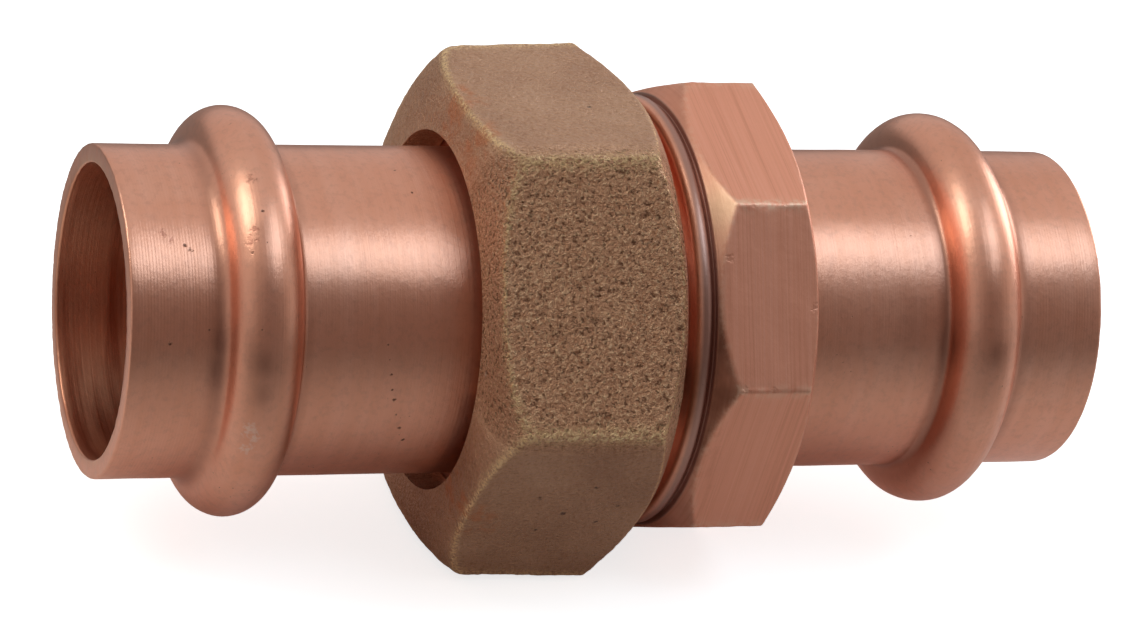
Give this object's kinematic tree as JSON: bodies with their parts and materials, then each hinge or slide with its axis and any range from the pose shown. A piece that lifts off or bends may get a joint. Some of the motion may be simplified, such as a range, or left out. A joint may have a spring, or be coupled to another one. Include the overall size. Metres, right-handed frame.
{
  "type": "pipe union",
  "caption": "Straight press-end pipe union for copper tube: two copper halves on a cone seat, drawn together by a bronze hexagon nut; the right half has an octagon wrench section.",
  "frame": {"origin": "middle of the pipe axis, which is the centre of the union's box", "axes": "+X along the pipe axis from the tailpiece's open end to the threaded body's open end; +Z square to one of the nut's flats"},
  "size_m": [0.0786, 0.0422, 0.037],
  "materials": {
    "copper": "satin drawn copper",
    "bronze": "sand-cast bronze, matte",
    "seal": "smooth black EPDM"
  },
  "bodies": {
    "body": {"threaded_body": "copper", "body_o_ring": "seal"},
    "tail": {"tailpiece": "copper", "tailpiece_o_ring": "seal"},
    "nut": {"union_nut": "bronze"}
  },
  "joints": [
    {"name": "tailpiece_slide", "type": "slide", "parent": "body", "child": "tail", "axis": [-1, 0, 0], "range_m": [0, 0.006]},
    {"name": "nut_turn", "type": "hinge", "parent": "tail", "child": "nut", "pos_m": [-0.005, 0, 0], "axis": [-1, 0, 0], "range_deg": [0, 1440]}
  ],
  "couplings": [
    {"joint": "nut_turn", "follows": "tailpiece_slide", "rad_per_m": 4188.8}
  ]
}
